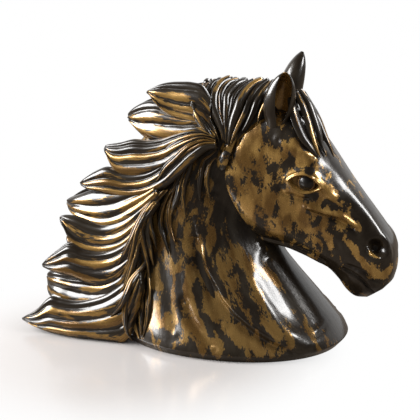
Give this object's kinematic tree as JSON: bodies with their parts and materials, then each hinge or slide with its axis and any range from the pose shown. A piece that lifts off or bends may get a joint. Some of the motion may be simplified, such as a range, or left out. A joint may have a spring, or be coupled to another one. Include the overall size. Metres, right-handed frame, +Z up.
{
  "type": "horse head bust",
  "caption": "Free-standing tabletop bust of a horse's head and neck, cast in hollow mottled bronze, with a wind-blown mane of pointed fluted locks.",
  "frame": {"origin": "middle of the bust's box at the level of the surface it stands on", "axes": "+X the way the horse faces, +Y the horse's left side, +Z up"},
  "size_m": [0.3905, 0.182, 0.2861],
  "materials": {
    "bronze": "glossy lacquered bronze, gold-brown patches in a near-black patina",
    "mane": "glossy lacquered bronze, dark with gold-brown streaks along the flutes",
    "eye": "polished dark bronze",
    "plate": "black painted sheet",
    "felt": "dark wool felt",
    "screw": "zinc-plated, matte"
  },
  "bodies": {
    "root": {"neck_shell": "bronze", "head_shell": "bronze", "eye_right": "eye", "eye_left": "eye", "ear_right": "bronze", "ear_left": "bronze", "mane_core": "mane", "mane_lock_middle": "mane", "mane_lock_right_1": "mane", "mane_lock_right_2": "mane", "mane_lock_right_3": "mane", "mane_lock_right_4": "mane", "mane_lock_right_5": "mane", "mane_lock_right_6": "mane", "mane_lock_left_1": "mane", "mane_lock_left_2": "mane", "mane_lock_left_3": "mane", "mane_lock_left_4": "mane", "mane_lock_left_5": "mane", "mane_lock_left_6": "mane", "crest_hair": "mane", "forelock": "mane", "flank_hair_right": "mane", "flank_hair_left": "mane", "closing_plate": "plate", "felt_pad": "felt", "plate_screw_1": "screw", "plate_screw_2": "screw", "plate_screw_3": "screw", "plate_screw_4": "screw"}
  },
  "joints": []
}
